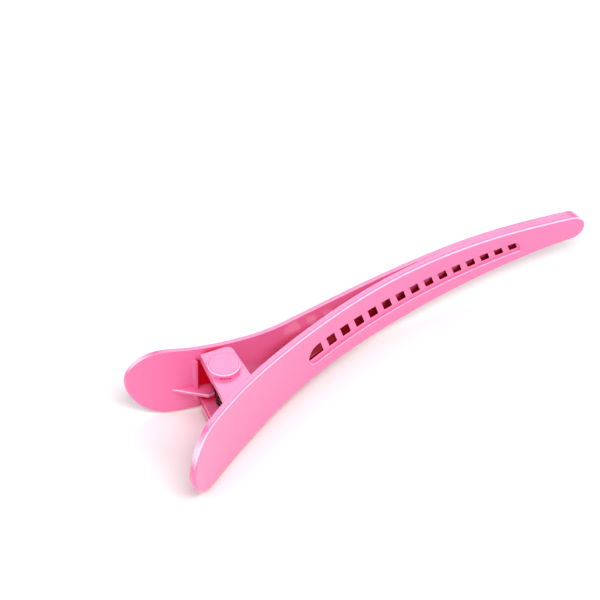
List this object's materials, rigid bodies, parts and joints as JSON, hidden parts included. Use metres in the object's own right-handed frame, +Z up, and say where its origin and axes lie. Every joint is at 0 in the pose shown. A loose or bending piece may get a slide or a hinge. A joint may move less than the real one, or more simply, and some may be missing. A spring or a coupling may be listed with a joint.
{
  "type": "sectioning hair clip",
  "caption": "Long bowed hair clip in pink plastic: a slotted arm and a plain arm that close on each other, with rounded finger tabs and a sprung riveted hinge.",
  "frame": {"origin": "middle of the clip's box, on the surface that it lies on", "axes": "+X along the clip from the finger tabs to the tip, +Y from the slotted arm to the plain arm, which is the way the arms open, +Z up along the hinge rivet"},
  "size_m": [0.1172, 0.0336, 0.0202],
  "materials": {
    "pink_plastic": "satin, moulded",
    "rivet_steel": "bright, plated",
    "spring_steel": "drawn wire"
  },
  "bodies": {
    "slotted": {"slotted_arm": "pink_plastic", "hinge_rivet": "rivet_steel", "top_cap": "pink_plastic", "bottom_cap": "pink_plastic", "torsion_spring": "spring_steel"},
    "plain": {"plain_arm": "pink_plastic"}
  },
  "joints": [
    {"name": "arm_hinge", "type": "hinge", "parent": "slotted", "child": "plain", "pos_m": [-0.03795, -0.00051, 0.0101], "axis": [0, 0, 1], "range_deg": [0, 25], "stiffness_Nm_per_rad": 0.06, "springref_deg": -45.84, "deforming": ["torsion_spring"]}
  ]
}
